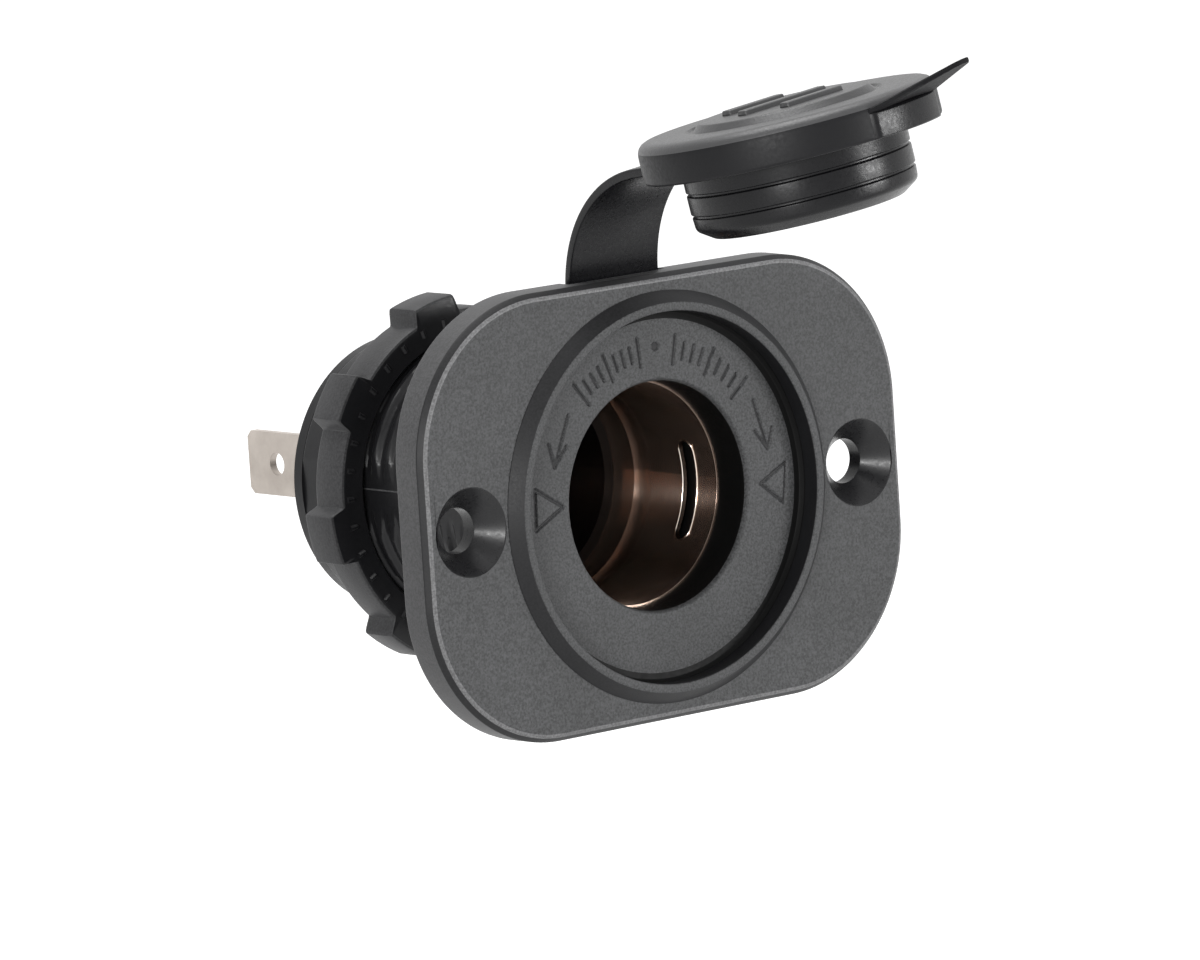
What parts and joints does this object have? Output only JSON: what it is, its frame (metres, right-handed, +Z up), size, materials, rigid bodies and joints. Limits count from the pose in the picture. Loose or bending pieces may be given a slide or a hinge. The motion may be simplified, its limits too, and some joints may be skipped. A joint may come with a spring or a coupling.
{
  "type": "panel-mount power socket",
  "caption": "Round low-voltage power socket in an oblong screw-on plate, with threaded barrel, lugged ring nut, rear spades and a rubber plug-cap on a strap.",
  "frame": {"origin": "centre of the plate's back face, on the socket's axis, midway between the two screw holes", "axes": "socket axis along Y with the mouth towards -Y and the terminals towards +Y, +Z up towards the strap, screw holes along X"},
  "size_m": [0.059, 0.1068, 0.0642],
  "materials": {
    "plate_plastic": "fine-grained dark grey moulding",
    "body_plastic": "satin black moulding",
    "rubber": "satin black rubber",
    "plated_brass": "nickel-plated, slightly warm",
    "tinned_brass": "dull tin plating"
  },
  "bodies": {
    "socket": {"mounting_plate": "plate_plastic", "socket_body": "body_plastic", "flange_gasket": "rubber", "contact_sleeve": "plated_brass", "rear_insulator": "body_plastic", "centre_contact": "plated_brass", "positive_terminal": "tinned_brass", "anchor_ring": "rubber"},
    "nut": {"ring_nut": "body_plastic"},
    "tether": {"strap": "rubber"},
    "cover": {"cap": "rubber"}
  },
  "joints": [
    {"name": "nut_travel", "type": "slide", "parent": "socket", "child": "nut", "axis": [0, 1, 0], "range_m": [-0.0246, 0.005]},
    {"name": "cap_swing", "type": "hinge", "parent": "socket", "child": "tether", "pos_m": [-0.00329, -0.00435, 0.02629], "axis": [0.9922, 0, 0.1243], "range_deg": [0, 97.22], "stiffness_Nm_per_rad": 0.03, "deforming": ["strap"]},
    {"name": "cap_press", "type": "slide", "parent": "tether", "child": "cover", "axis": [0.1233, -0.1257, -0.9844], "range_m": [0, 0.00672], "stiffness_N_per_m": 150}
  ]
}
